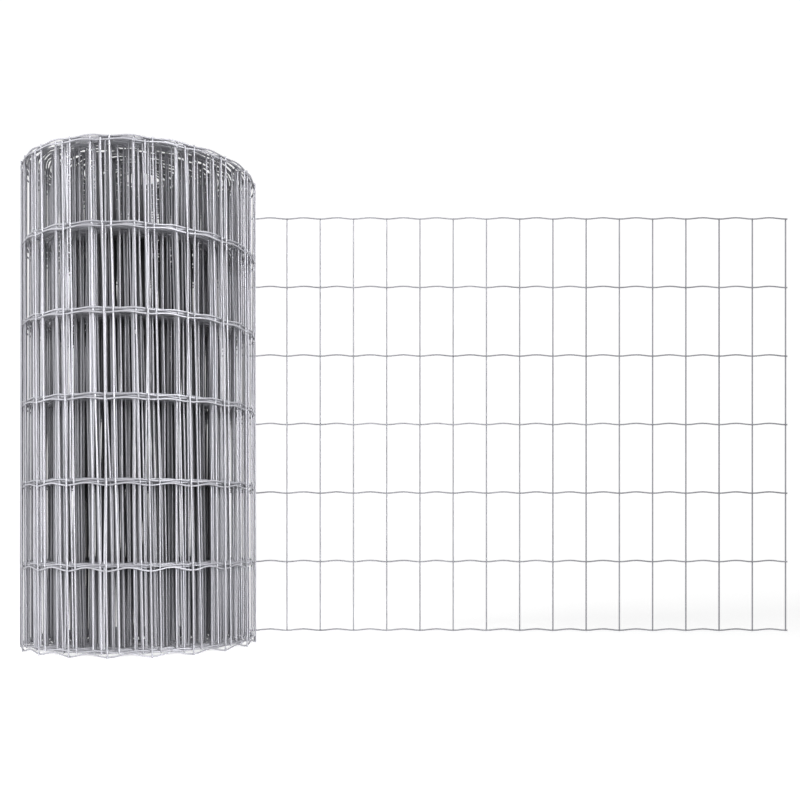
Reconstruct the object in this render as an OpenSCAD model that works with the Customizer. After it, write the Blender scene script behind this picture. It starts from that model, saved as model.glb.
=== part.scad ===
// Roll of welded wire fencing, stood on end with its outer end run out flat.
// Crimped line wires run the length of the fence, and straight stays cross them at even steps.
// The wound turns are one turned solid with an open bore, and gaps on both ends show the turns.
// All sizes are in millimetres. Z is the axis of the roll, and the roll stands on Z = 0.

/* [Wire and mesh] */

// Diameter of the wire with its zinc coat
wire_d = 2.2; // [1.6:0.1:3]

// Number of line wires up the fence
line_count = 7; // [3:1:9]

// Height from one line wire to the next
line_pitch = 103; // [50:1:150]

// Length along the fence from one stay to the next
stay_pitch = 50; // [30:5:75]

// Length of a stay past the first and last line wires
stay_overhang = 2.5; // [2.5:0.5:10]

// Rise of a line wire's crimp, from a stay to the middle of a cell
crimp_height = 2; // [1:0.5:2]

// Depth to which a stay is sunk in a line wire at the weld
weld_sink = 0.5; // [0.2:0.1:0.8]

/* [Roll] */

// Diameter of the open bore
bore_d = 32; // [20:1:120]

// Number of turns wound round the bore
turn_count = 45; // [5:1:60]

// Gap from the wire of one turn to the wire of the next
turn_clearance = 0.8; // [0.4:0.1:5]

// Depth of the gaps that show between the turns on both ends
gap_depth = 8; // [2:1:20]

/* [Run-out] */

// Distance from the axis of the roll to the last stay of the flat run-out
run_out = 928; // [300:1:1500]

// Length of line wire past the last stay
line_end = 2; // [2:0.5:10]

// Clearance between the run-out and the back of the roll
seat_gap = 0.2; // [0.1:0.1:0.5]

/* [Hidden] */

// The flat mesh is drawn with few sides
wire_sides = 6;
crimp_steps = 4;

// Half the wire, to its corners and to its flats
wire_r = wire_d / 2;
flat_r = wire_r * cos(180 / wire_sides);

// The roll
fence_height = (line_count - 1) * line_pitch + 2 * stay_overhang;
bore_r = bore_d / 2;
turn_pitch = wire_d + turn_clearance;
roll_r = bore_r + (turn_count - 1) * turn_pitch + wire_d;

// The run-out leaves the back of the roll along a tangent, with its stays on the outer side
line_y = roll_r + wire_r + seat_gap + flat_r;
stay_y = line_y + 2 * flat_r - weld_sink;
stay_last = floor(run_out / stay_pitch);
first_x = run_out - stay_last * stay_pitch;

// Height of line wire number i above the base
function line_z(i) = stay_overhang + i * line_pitch;

// Height of a crimped line wire at x, lowest where a stay crosses it
function crimp_z(x) = -crimp_height / 2 * cos(360 * (run_out - x) / stay_pitch);

// One gap between two turns, cut in an end of the profile from height z
module turn_gap(i, z) {
    translate([bore_r + wire_d + i * turn_pitch, z])
        square([turn_clearance, gap_depth + 1]);
}

// Profile of a line wire of the outer turn at height z, as high as its crimp
module line_ridge(z) {
    for (side = [-1, 1])
        translate([roll_r, z + side * crimp_height / 2])
            circle(r = wire_r, $fn = 32);
    translate([roll_r - wire_r, z - crimp_height / 2])
        square([wire_d, crimp_height]);
}

// The wound turns, with the line wires of the outer turn standing out as ridges
module rolled_mesh() {
    color("silver")
        rotate_extrude($fn = 144)
            difference() {
                union() {
                    translate([bore_r, 0])
                        square([roll_r - bore_r, fence_height]);
                    for (i = [0 : line_count - 1])
                        line_ridge(line_z(i));
                }
                for (i = [0 : turn_count - 2]) {
                    turn_gap(i, -1);
                    turn_gap(i, fence_height - gap_depth);
                }
            }
}

// One crimped line wire along X, from where it leaves the roll to just past the last stay
module line_wire() {
    step = stay_pitch / crimp_steps;
    rings = [for (k = [-ceil(first_x / step) : stay_last * crimp_steps]) first_x + k * step];
    xs = concat(rings, [run_out + line_end]);
    last = len(xs) - 1;
    corners = [for (j = [0 : wire_sides - 1]) 180 / wire_sides + 360 * j / wire_sides];
    points = [
        for (x = xs)
            for (a = corners)
                [x, wire_r * cos(a), crimp_z(x) + wire_r * sin(a)]
    ];
    sides = [
        for (k = [0 : last - 1])
            for (j = [0 : wire_sides - 1])
                let (n = (j + 1) % wire_sides, a = k * wire_sides, b = a + wire_sides)
                    [a + j, b + j, b + n, a + n]
    ];
    start = [[for (j = [0 : wire_sides - 1]) j]];
    end = [[for (j = [wire_sides - 1 : -1 : 0]) last * wire_sides + j]];
    polyhedron(points = points, faces = concat(sides, start, end));
}

// The flat end of the fence, its wires fused where they cross
module unrolled_mesh() {
    color("silver")
        union() {
            for (i = [0 : line_count - 1])
                translate([0, line_y, line_z(i)])
                    line_wire();
            for (i = [0 : stay_last])
                translate([run_out - i * stay_pitch, stay_y, 0])
                    cylinder(r = wire_r, h = fence_height, $fn = wire_sides);
        }
}

rolled_mesh();
unrolled_mesh();
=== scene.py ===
# %% [markdown]
# # A roll of wire fencing
# The real object is one length of galvanised welded fence. Crimped line wires run along it and straight
# stays cross them. Most of it is wound in a roll that stands on end, and its outer end is run out flat.
# The CAD frame holds a turned solid for the wound turns and a flat mesh for the run-out.
# We build the fence flat, as the welding machine does, and then wind its vertices on to the roll, so that
# one set of wires makes both parts and every weld stays where it was made.

# %% Load the frame and keep its box
import math

import bmesh
import bpy
import numpy as np
from mathutils import Matrix, Vector


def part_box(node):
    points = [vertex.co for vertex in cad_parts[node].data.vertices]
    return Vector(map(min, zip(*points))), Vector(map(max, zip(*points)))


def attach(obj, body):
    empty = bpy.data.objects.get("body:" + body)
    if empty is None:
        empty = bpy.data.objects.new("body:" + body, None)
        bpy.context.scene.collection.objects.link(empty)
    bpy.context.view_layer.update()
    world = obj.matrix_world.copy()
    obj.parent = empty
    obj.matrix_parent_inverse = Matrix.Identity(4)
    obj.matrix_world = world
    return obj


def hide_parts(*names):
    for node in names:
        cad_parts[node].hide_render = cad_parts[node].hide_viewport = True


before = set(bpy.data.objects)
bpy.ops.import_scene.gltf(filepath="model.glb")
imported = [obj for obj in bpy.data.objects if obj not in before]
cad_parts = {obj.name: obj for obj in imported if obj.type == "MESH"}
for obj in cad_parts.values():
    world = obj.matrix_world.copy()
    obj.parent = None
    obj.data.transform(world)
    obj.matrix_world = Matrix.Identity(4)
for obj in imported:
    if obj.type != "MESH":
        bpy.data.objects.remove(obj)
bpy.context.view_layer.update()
roll_low, roll_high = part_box("rolled_mesh")
run_low, run_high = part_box("unrolled_mesh")

# %% [markdown]
# ## The fence's measures
# Sizes that the frame holds are read from its boxes. The rest repeat the part's source, in metres.
# The flat fence lies along X with its free end at run_out. Its line wires have their centres on y = 0 and
# its stays are on the outer side, at y = STAY_OUT, sunk a little in the line wires as welding leaves them.

# %% Measures
WIRE_R = 0.0011
WIRE_FLAT = WIRE_R * math.cos(math.pi / 6)
LINE_COUNT = 7
LINE_END = 0.002
STAY_COUNT = 501
STAY_PITCH = 0.050
STAY_STUB = 0.0025
TOP_STUB = 0.0006
STAY_OUT = 0.0017
CRIMP_RISE = 0.002

fence_height = roll_high.z
line_pitch = (fence_height - 2 * STAY_STUB) / (LINE_COUNT - 1)
line_heights = [STAY_STUB + i * line_pitch for i in range(LINE_COUNT)]
run_out = run_high.x - LINE_END
line_y = run_low.y + WIRE_FLAT
print(f"fence {fence_height:.3f} m high, {STAY_PITCH * (STAY_COUNT - 1):.2f} m long, run out {run_out:.3f} m")

# %% [markdown]
# ## How the fence is wound
# A formula for a perfect spiral would give turns as even as a machine part. A fence that is wound by hand
# lies tighter in one place than in another. So the radius falls by about half a step each half turn, and
# each of these falls differs a little. A seeded generator draws them, so every run winds the same roll.
# Adding up the arc gives a table from length of fence to number of turns, which np.interp can read both ways.

# %% Table of turns
TURN_STEP = 0.003
UNEVEN = 0.2
falls = TURN_STEP / 2 * np.random.default_rng(144).uniform(1 - UNEVEN, 1 + UNEVEN, 94)
fallen = np.concatenate(([0.0], np.cumsum(falls)))
half_turns = np.arange(len(fallen)) / 2


def turn_radius(turn):
    """Radius of the line wires, so many turns in from the run-out."""
    return line_y - np.interp(turn, half_turns, fallen)


turns = np.linspace(0.0, 46.0, 46001)
radii = turn_radius(turns)
arcs = math.pi * np.diff(turns) * (radii[1:] + radii[:-1])
lengths = np.concatenate(([0.0], np.cumsum(arcs)))
wound_length = STAY_PITCH * (STAY_COUNT - 1) - run_out
inner_radius = np.interp(wound_length, lengths, radii)
print(f"{np.interp(wound_length, lengths, turns):.2f} turns, inner radius {inner_radius * 1000:.1f} mm")

# %% [markdown]
# ## Small faults of a handled fence
# Nothing in the photograph is quite true. The stays lean by about a degree, more in some turns than in
# others, and each stay is a little bent where it is welded. One seeded table of kinks gives every crossing
# a small shift along the fence, and a second one gives every turn its own sway. Stays, line wires and welds
# all read the same tables, so a bent stay takes its welds and its line wires along.

# %% Kinks and sway
rng = np.random.default_rng(144)
kinks = rng.normal(0.0, 0.0008, (STAY_COUNT, LINE_COUNT))
for level in range(1, LINE_COUNT):
    kinks[:, level] += 0.75 * kinks[:, level - 1]
LEAN = 0.015
sway = rng.normal(0.0, 0.011, 50)
sway[:2] = 0.0


def kink_at(along, up):
    """Shift along the fence at a point of it, between the kinks of the four crossings round it."""
    u = np.clip((run_out - along) / STAY_PITCH, 0, STAY_COUNT - 1.001)
    v = np.clip((up - STAY_STUB) / line_pitch, 0, LINE_COUNT - 1.001)
    i, j = u.astype(int), v.astype(int)
    fu, fv = u - i, v - j
    low = kinks[i, j] * (1 - fu) + kinks[i + 1, j] * fu
    high = kinks[i, j + 1] * (1 - fu) + kinks[i + 1, j + 1] * fu
    return low * (1 - fv) + high * fv


print(f"kinks up to {abs(kinks).max() * 1000:.1f} mm, sway up to {abs(sway).max():.3f}")

# %% [markdown]
# ## Winding the flat fence
# One function takes any point of the flat fence to its place on the roll, so every wire is wound alike. The
# outer turn has slipped down past the others, and low on the roll its line wires hang in a wave. The rest
# sit a little higher and rise and sink from turn to turn. A cloth or curve deform could wind a mesh too,
# but a plain function of the table of turns keeps each weld exactly where the two wires meet.

# %% Wind
SLIP = 0.0055
TURN_RISE = 0.0012
OUTER_WAVE = 0.0012


def ease(x):
    """0 below 0, 1 above 1, and a smooth step between."""
    x = np.clip(x, 0.0, 1.0)
    return x * x * (3.0 - 2.0 * x)


def wind(flat):
    """Takes points of the flat fence (along, out, up) to where the roll and its run-out have them."""
    along, out, up = flat.T
    wound = np.maximum(-along, 0.0)
    settled = ease(wound / 0.45)
    turn = np.interp(wound, lengths, turns)
    lean = LEAN + np.interp(turn, np.arange(len(sway)), sway)
    wound = wound + settled * (lean * (fence_height / 2 - up) + kink_at(along, up))
    turn = np.interp(wound, lengths, turns)
    angle = math.pi / 2 + 2 * math.pi * turn
    radius = turn_radius(turn) + out
    inner = ease((turn - 0.8) / 0.4)
    rise = SLIP * inner + TURN_RISE * np.sin(1.9 * turn) * ease(turn - 1.5)
    wave = 1.0 - np.cos(2 * math.pi * (run_out - along) / STAY_PITCH)
    rise = rise + OUTER_WAVE * wave * settled * (1.0 - inner) * ease((0.3 - up) / 0.2)
    rolled = np.column_stack((radius * np.cos(angle), radius * np.sin(angle), up + rise))
    straight = np.column_stack((along, line_y + out, up))
    return np.where((along < 0)[:, None], rolled, straight)


# %% [markdown]
# ## From one cell to the whole fence
# A fence is one cell repeated, so each wire is modelled over one stay pitch and an Array modifier repeats
# it. The result is taken as a plain mesh, which the next step winds. Copying the cell in a loop would do
# as well, but the modifier also merges the ends of neighbouring cells to one wire.

# %% Repeat
def repeated(bm, count, merge):
    """The bmesh repeated along the fence, one stay pitch apart, as a plain mesh."""
    cell = bpy.data.meshes.new("fence_cell")
    bm.to_mesh(cell)
    bm.free()
    holder = bpy.data.objects.new("fence_cell", cell)
    bpy.context.scene.collection.objects.link(holder)
    array = holder.modifiers.new("stay_by_stay", "ARRAY")
    array.use_relative_offset = False
    array.use_constant_offset = True
    array.constant_offset_displace = (-STAY_PITCH, 0.0, 0.0)
    array.count = count
    array.use_merge_vertices = merge
    array.merge_threshold = 0.00001
    graph = bpy.context.evaluated_depsgraph_get()
    mesh = bpy.data.meshes.new_from_object(holder.evaluated_get(graph))
    bpy.data.objects.remove(holder)
    bpy.data.meshes.remove(cell)
    return mesh


# %% [markdown]
# ## Pieces with a memory of the flat fence
# Before winding, each vertex keeps its flat place in the attribute flat, so that the finish can follow the
# wire, and a tone of its own in wire_tone, because no two wires of a galvanised fence have quite the same
# shade. A third attribute holds painted shade: it is 1 where a wire is open to the light and falls to 0
# deep in the roll, so that the colour there is darkened as if by shade. It stays higher near both ends of
# the roll, where light comes in, so the colour there is painted lighter.

# %% Wound pieces
# Painted shade: a few turns in, the wire's colour starts to darken, over many more turns, and near both ends
# of the roll it is painted lighter.
PAINTED_LIT_TURNS = 4.0
FADE_TURNS = 26.0
LIT_ENDS = 0.03
tones = rng.uniform(0.0, 1.0, (STAY_COUNT, LINE_COUNT + 1))


def painted_light_level(flat):
    """Painted shade for each point of the flat fence: how open to the light it is, from 0 to 1."""
    depth = np.interp(np.maximum(-flat[:, 0], 0.0), lengths, turns)
    from_end = np.minimum(flat[:, 2], fence_height - flat[:, 2])
    return np.maximum(1.0 - ease((depth - PAINTED_LIT_TURNS) / FADE_TURNS), 0.7 * (1.0 - ease(from_end / LIT_ENDS)))


def wound_piece(name, mesh, column):
    """Winds a flat mesh, gives it its attributes, and makes it a piece that rides on the frame."""
    flat = np.empty(len(mesh.vertices) * 3)
    mesh.vertices.foreach_get("co", flat)
    flat = flat.reshape(-1, 3)
    place = (run_out - flat[:, 0]) / STAY_PITCH
    tone = np.interp(np.round(place) if column == 0 else place, np.arange(STAY_COUNT), tones[:, column])
    mesh.attributes.new("flat", "FLOAT_VECTOR", "POINT").data.foreach_set("vector", flat.ravel())
    mesh.attributes.new("wire_tone", "FLOAT", "POINT").data.foreach_set("value", tone)
    # Painted shade and light, kept for the colour to be darkened by.
    mesh.attributes.new("painted_light", "FLOAT", "POINT").data.foreach_set("value", painted_light_level(flat))
    mesh.vertices.foreach_set("co", wind(flat).ravel())
    mesh.shade_smooth()
    mesh.set_sharp_from_angle(angle=math.radians(75))
    mesh.update()
    mesh.name = name
    piece = bpy.data.objects.new(name, mesh)
    bpy.context.scene.collection.objects.link(piece)
    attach(piece, "root")
    mesh.calc_loop_triangles()
    print(name, len(mesh.loop_triangles), "triangles")
    return piece


# %% [markdown]
# ## Line wires
# Each line wire is one wire, crimped so that it can stretch and spring back: it dips at every stay and
# rises between two stays. A ring is extruded in short steps over one pitch, each step lifted on a cosine.
# The repeats are merged ring on ring, and the two ends run on a little and are closed.

# %% Line wires
LINE_SIDES = 8
CRIMP_STEPS = 8


def crimp_height(step):
    """Height of the crimp at a step, lowest at a stay."""
    return -CRIMP_RISE / 2 * math.cos(2 * math.pi * step / CRIMP_STEPS)


def line_cell():
    """One pitch of line wire, as an open tube from a stay to the next."""
    bm = bmesh.new()
    turn = Matrix.Translation((run_out, 0, crimp_height(0))) @ Matrix.Rotation(math.pi / 2, 4, "Y")
    bmesh.ops.create_circle(bm, segments=LINE_SIDES, radius=WIRE_R, matrix=turn)
    ring = list(bm.edges)
    for step in range(1, CRIMP_STEPS + 1):
        grown = bmesh.ops.extrude_edge_only(bm, edges=ring)["geom"]
        ring = [e for e in grown if isinstance(e, bmesh.types.BMEdge)]
        ends = [v for v in grown if isinstance(v, bmesh.types.BMVert)]
        lift = crimp_height(step) - crimp_height(step - 1)
        bmesh.ops.translate(bm, verts=ends, vec=(-STAY_PITCH / CRIMP_STEPS, 0, lift))
    return bm


def close_ends(mesh):
    """Runs both open ends on past the last stays and closes them."""
    bm = bmesh.new()
    bm.from_mesh(mesh)
    rims = [e for e in bm.edges if e.is_boundary]
    grown = bmesh.ops.extrude_edge_only(bm, edges=rims)["geom"]
    for vert in (v for v in grown if isinstance(v, bmesh.types.BMVert)):
        vert.co.x += LINE_END if vert.co.x > 0 else -LINE_END
    bmesh.ops.holes_fill(bm, edges=[e for e in bm.edges if e.is_boundary], sides=LINE_SIDES)
    bmesh.ops.recalc_face_normals(bm, faces=bm.faces)
    bm.to_mesh(mesh)
    bm.free()


flat_line = repeated(line_cell(), STAY_COUNT - 1, merge=True)
close_ends(flat_line)
line_wires = []
for number, height in enumerate(line_heights, start=1):
    mesh = flat_line.copy()
    mesh.transform(Matrix.Translation((0, 0, height)))
    line_wires.append(wound_piece(f"line_wire_{number}", mesh, number))
bpy.data.meshes.remove(flat_line)

# %% [markdown]
# ## Stays
# A stay is a straight length of the same wire. It is extruded from its lower end in one step for each
# stretch between line wires, because it bends only where it is welded. With so many of them, six sides
# and one step a stretch keep each to fifty faces.

# %% Stays
STAY_SIDES = 6


def stay_cell():
    """One stay at the free end of the fence."""
    bm = bmesh.new()
    foot = Matrix.Translation((run_out, STAY_OUT, 0))
    bmesh.ops.create_circle(bm, cap_ends=True, segments=STAY_SIDES, radius=WIRE_R, matrix=foot)
    top = bm.faces[:]
    for low, high in zip([0, *line_heights], [*line_heights, line_heights[-1] + TOP_STUB]):
        grown = bmesh.ops.extrude_face_region(bm, geom=top)["geom"]
        top = [f for f in grown if isinstance(f, bmesh.types.BMFace)]
        rim = [v for v in grown if isinstance(v, bmesh.types.BMVert)]
        bmesh.ops.translate(bm, verts=rim, vec=(0, 0, high - low))
    bmesh.ops.recalc_face_normals(bm, faces=bm.faces)
    return bm


stay_wires = wound_piece("stay_wires", repeated(stay_cell(), STAY_COUNT, merge=False), 0)

# %% [markdown]
# ## Welds
# Where a stay crosses a line wire the machine presses them together and a little metal is squeezed out
# at the sides of the joint. A flattened bead between the two wires shows it. It is a low sphere, because
# there are thousands of them.

# %% Welds
WELD_R = 0.0014


def weld_cell():
    """The welds of one stay."""
    bm = bmesh.new()
    for height in line_heights:
        spot = Vector((run_out, STAY_OUT / 2, height + crimp_height(0)))
        flatten = Matrix.Diagonal((WELD_R, 0.0009, WELD_R, 1.0))
        bmesh.ops.create_uvsphere(
            bm, u_segments=6, v_segments=4, radius=1.0, matrix=Matrix.Translation(spot) @ flatten
        )
    return bm


weld_points = wound_piece("weld_points", repeated(weld_cell(), STAY_COUNT, merge=False), 0)
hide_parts("rolled_mesh", "unrolled_mesh")

# %% [markdown]
# ## Galvanised finish
# Hot zinc leaves a satin grey skin: small crystals of slightly different brightness, faint streaks along
# the wire from drawing and wiping, and dull patches where the zinc has begun to weather. All pieces share
# these, so they are one node group, made with two small helpers. Each material sets how far the streaks
# are stretched, along X for line wires and along Z for stays, in the flat fence's own coordinates.

# %% Node helpers and an empty group
def linked(tree, kind, inputs=None, **settings):
    """A new node with settings and inputs: a socket is linked, any other value is set."""
    node = tree.nodes.new(kind)
    for key, value in settings.items():
        setattr(node, key, value)
    for key, value in (inputs or {}).items():
        if isinstance(value, bpy.types.NodeSocket):
            tree.links.new(value, node.inputs[key])
        else:
            node.inputs[key].default_value = value
    return node


def scaled(tree, value, low, high):
    """A 0 to 1 value spread from low to high."""
    spread = linked(tree, "ShaderNodeMapRange", {"Value": value, "To Min": low, "To Max": high})
    return spread.outputs["Result"]


zinc = bpy.data.node_groups.new("zinc_skin", "ShaderNodeTree")
for name, kind, way in (
    ("Streak", "NodeSocketVector", "INPUT"),
    ("Dulling", "NodeSocketFloat", "INPUT"),
    ("Colour", "NodeSocketColor", "OUTPUT"),
    ("Roughness", "NodeSocketFloat", "OUTPUT"),
    ("Height", "NodeSocketFloat", "OUTPUT"),
):
    zinc.interface.new_socket(name=name, in_out=way, socket_type=kind)
given = zinc.nodes.new("NodeGroupInput")
print("zinc_skin sockets", len(zinc.interface.items_tree))

# %% [markdown]
# ## Crystals, streaks and dull patches
# A Voronoi texture has the look of zinc crystals, and a noise stretched along the wire gives the streaks.
# Half of each wire's shade is this grain and half is the wire's own tone. A slow cloud, cut off at a
# middle value, says where the skin is dull.

# %% Zinc patterns
flat_place = linked(zinc, "ShaderNodeAttribute", attribute_name="flat").outputs["Vector"]
tone = linked(zinc, "ShaderNodeAttribute", attribute_name="wire_tone").outputs["Fac"]
crystal = linked(zinc, "ShaderNodeTexVoronoi", {"Vector": flat_place, "Scale": 420.0})
stretch = linked(
    zinc, "ShaderNodeVectorMath", {0: flat_place, 1: given.outputs["Streak"]}, operation="MULTIPLY"
)
streaks = linked(zinc, "ShaderNodeTexNoise", {"Vector": stretch.outputs[0], "Scale": 1.0, "Detail": 3.0})
cloud = linked(zinc, "ShaderNodeTexNoise", {"Vector": flat_place, "Scale": 22.0, "Detail": 4.0})
dull = linked(
    zinc,
    "ShaderNodeMapRange",
    {"Value": cloud.outputs["Fac"], "From Min": 0.48, "From Max": 0.66, "To Max": given.outputs["Dulling"]},
)
grain = linked(
    zinc, "ShaderNodeMath", {0: crystal.outputs["Color"], 1: streaks.outputs["Fac"]}, operation="ADD"
)
own_tone = scaled(zinc, tone, 0.0, 0.5)
shade = linked(
    zinc, "ShaderNodeMath", {0: grain.outputs[0], 1: 0.25, 2: own_tone}, operation="MULTIPLY_ADD"
)
print("zinc patterns", len(zinc.nodes), "nodes")

# %% [markdown]
# ## Colour and gloss of the zinc
# The shade runs from a darker to a lighter blue-grey, and the dull patches take a grey between them. Wires
# deep in the roll are darkened with painted shade, and kept lighter at the roll's ends. Dull zinc is also
# rougher.

# %% Zinc colours
bright = linked(
    zinc,
    "ShaderNodeMix",
    {"Factor": shade.outputs[0], "A": (0.26, 0.26, 0.285, 1), "B": (0.50, 0.50, 0.535, 1)},
    data_type="RGBA",
)
weathered = linked(
    zinc,
    "ShaderNodeMix",
    {"Factor": dull.outputs["Result"], "A": bright.outputs["Result"], "B": (0.42, 0.42, 0.445, 1)},
    data_type="RGBA",
)
# Painted shade: the colour is multiplied down to 7 % deep in the roll and kept near full where light reaches.
painted_light = linked(zinc, "ShaderNodeAttribute", attribute_name="painted_light").outputs["Fac"]
skin_colour_with_painted_shade = linked(
    zinc,
    "ShaderNodeMix",
    {"Factor": 1.0, "A": weathered.outputs["Result"], "B": scaled(zinc, painted_light, 0.07, 1.0)},
    data_type="RGBA",
    blend_type="MULTIPLY",
)
rough = linked(
    zinc,
    "ShaderNodeMath",
    {0: scaled(zinc, streaks.outputs["Fac"], 0.52, 0.64), 1: scaled(zinc, dull.outputs["Result"], 0.0, 0.2)},
    operation="ADD",
)
made = zinc.nodes.new("NodeGroupOutput")
zinc.links.new(skin_colour_with_painted_shade.outputs["Result"], made.inputs["Colour"])
zinc.links.new(rough.outputs[0], made.inputs["Roughness"])
zinc.links.new(grain.outputs[0], made.inputs["Height"])
print("zinc_skin", len(zinc.nodes), "nodes")

# %% [markdown]
# ## Three materials
# Line wires, stays and welds have the same skin with their own streaks, and the welds are duller, because
# the heat has burnt their zinc. The group gives values only, and the shader in each material uses them.

# %% Materials
def zinc_material(name, streak, dulling):
    """A galvanised finish with its streaks stretched as given."""
    material = bpy.data.materials.new(name)
    material.use_nodes = True
    tree = material.node_tree
    shader = tree.nodes["Principled BSDF"]
    skin = linked(tree, "ShaderNodeGroup", node_tree=zinc)
    skin.inputs["Streak"].default_value = streak
    skin.inputs["Dulling"].default_value = dulling
    bump = linked(
        tree, "ShaderNodeBump", {"Height": skin.outputs["Height"], "Strength": 0.35, "Distance": 0.0001}
    )
    tree.links.new(skin.outputs["Colour"], shader.inputs["Base Color"])
    tree.links.new(skin.outputs["Roughness"], shader.inputs["Roughness"])
    tree.links.new(bump.outputs["Normal"], shader.inputs["Normal"])
    shader.inputs["Metallic"].default_value = 0.7
    return material


line_zinc = zinc_material("galvanised_line_wire", (60.0, 2000.0, 2000.0), 0.5)
stay_zinc = zinc_material("galvanised_stay", (2000.0, 2000.0, 60.0), 0.5)
weld_zinc = zinc_material("galvanised_weld", (900.0, 900.0, 900.0), 0.9)
for piece in line_wires:
    piece.data.materials.append(line_zinc)
stay_wires.data.materials.append(stay_zinc)
weld_points.data.materials.append(weld_zinc)
print("materials", [m.name for m in (line_zinc, stay_zinc, weld_zinc)])

# %% [markdown]
# ## White room
# The photograph has a plain white ground. The room is white for the camera, in reflections and through
# glass, but it gives little light of its own, which is what lets the gaps between the turns go dark.

# %% Room
ROOM_LIGHT = 0.24


def seen(tree):
    """1 for rays from the camera and for those that metal mirrors or glass lets through."""
    path = tree.nodes.new("ShaderNodeLightPath")
    mirrored = linked(
        tree,
        "ShaderNodeMath",
        {0: path.outputs["Is Camera Ray"], 1: path.outputs["Is Glossy Ray"]},
        operation="MAXIMUM",
    )
    both = linked(
        tree,
        "ShaderNodeMath",
        {0: mirrored.outputs[0], 1: path.outputs["Is Transmission Ray"]},
        operation="MAXIMUM",
    )
    return both.outputs[0]


room = bpy.data.worlds.new("white_room")
bpy.context.scene.world = room
room.use_nodes = True
air = room.node_tree.nodes["Background"]
air.inputs["Color"].default_value = (1, 1, 1, 1)
room_strength = scaled(room.node_tree, seen(room.node_tree), ROOM_LIGHT, 1.0)
room.node_tree.links.new(room_strength, air.inputs["Strength"])
print("room light", ROOM_LIGHT)

# %% [markdown]
# ## White sheet
# A studio would hang a wide sheet that runs over the floor and bends up into a wall, so no edge is seen. A
# grid is the floor, its rear edge is spun through a quarter turn, and the last edge is drawn up.

# %% Sheet
SHEET_HALF = 4.0
SHEET_BEND = 1.0
SHEET_WALL = 5.0
bm = bmesh.new()
bmesh.ops.create_grid(bm, x_segments=2, y_segments=2, size=SHEET_HALF)
rear = [e for e in bm.edges if all(v.co.y > SHEET_HALF - 0.01 for v in e.verts)]
bend = bmesh.ops.spin(
    bm,
    geom=rear + list({v for e in rear for v in e.verts}),
    cent=(0, SHEET_HALF, SHEET_BEND),
    axis=(1, 0, 0),
    angle=math.pi / 2,
    steps=12,
)
rim = [e for e in bend["geom_last"] if isinstance(e, bmesh.types.BMEdge)]
wall = bmesh.ops.extrude_edge_only(bm, edges=rim)["geom"]
wall_top = [v for v in wall if isinstance(v, bmesh.types.BMVert)]
bmesh.ops.translate(bm, verts=wall_top, vec=(0, 0, SHEET_WALL))
sheet_mesh = bpy.data.meshes.new("white_sheet")
bm.to_mesh(sheet_mesh)
bm.free()
sheet_mesh.shade_smooth()
sheet = bpy.data.objects.new("white_sheet", sheet_mesh)
bpy.context.scene.collection.objects.link(sheet)
print("sheet corners", [[round(c, 2) for c in v.co] for v in sheet_mesh.vertices][:4])

# %% [markdown]
# ## Paper
# Matt white paper takes the shadow. It also glows a little for the camera and in reflections, so that it
# reads as white under lamps that are set for the wire. The lamps are strongest close to the roll, so the
# glow is weaker there, and the roll's shadow still shows.

# %% Paper
NEAR_GLOW = 0.71
FAR_GLOW = 0.78
paper = bpy.data.materials.new("white_paper")
paper.use_nodes = True
tree = paper.node_tree
matt = tree.nodes["Principled BSDF"]
matt.inputs["Base Color"].default_value = (0.9, 0.9, 0.9, 1)
matt.inputs["Roughness"].default_value = 0.9
matt.inputs["Specular IOR Level"].default_value = 0.0
matt.inputs["Emission Color"].default_value = (1, 1, 1, 1)
place = linked(tree, "ShaderNodeTexCoord").outputs["Object"]
reach = linked(tree, "ShaderNodeVectorMath", {0: place}, operation="LENGTH").outputs["Value"]
glow = linked(
    tree,
    "ShaderNodeMapRange",
    {"Value": reach, "From Min": 0.8, "From Max": 2.5, "To Min": NEAR_GLOW, "To Max": FAR_GLOW},
)
strength = linked(tree, "ShaderNodeMath", {0: seen(tree), 1: glow.outputs["Result"]}, operation="MULTIPLY")
tree.links.new(strength.outputs[0], matt.inputs["Emission Strength"])
sheet_mesh.materials.append(paper)
print("paper glow", NEAR_GLOW, "to", FAR_GLOW)

# %% [markdown]
# ## Lamps
# A tall soft lamp far to the left gives the roll its brighter side. A second one, with a narrow spread,
# stands to the right behind the camera and is aimed at the roll, so the stays at the front are bright, the
# light dies away between the turns, and little of it falls on the flat fence.

# %% Lamps
def soft_lamp(name, place, aim, size, power, spread):
    """A soft box of a width and height at a place, turned to a point."""
    light = bpy.data.lights.new(name, "AREA")
    light.shape = "RECTANGLE"
    light.size, light.size_y = size
    light.energy = power
    light.spread = math.radians(spread)
    lamp = bpy.data.objects.new(name, light)
    lamp.location = place
    lamp.rotation_euler = (Vector(aim) - Vector(place)).to_track_quat("-Z", "Y").to_euler()
    bpy.context.scene.collection.objects.link(lamp)
    return lamp


soft_lamp("key_lamp", (-2.0, -0.9, 0.8), (0.0, 0.0, 0.35), (0.8, 1.6), 38.0, 180)
soft_lamp("side_lamp", (1.5, -1.8, 0.8), (-0.18, 0.0, 0.35), (0.6, 1.4), 7.0, 40)

# %% [markdown]
# ## Camera
# In the photograph the wires of the flat fence run level and its stays upright, so the camera is level and
# straight on to it, about in the middle of its length. It stands low, because the top of the roll is seen
# from below, and its view is shifted up instead of being tilted.

# %% Camera
camera = bpy.data.objects.new("photo_camera", bpy.data.cameras.new("photo_camera"))
camera.location = (0.3479, -1.3138, 0.160)
camera.rotation_euler = (math.pi / 2, 0.0, 0.0)
camera.data.lens = 43.9
camera.data.sensor_width = 36.0
camera.data.shift_y = 0.1560
bpy.context.scene.collection.objects.link(camera)
bpy.context.scene.camera = camera
bpy.context.scene.view_settings.view_transform = "Standard"
print("camera at", [round(v, 3) for v in camera.location])
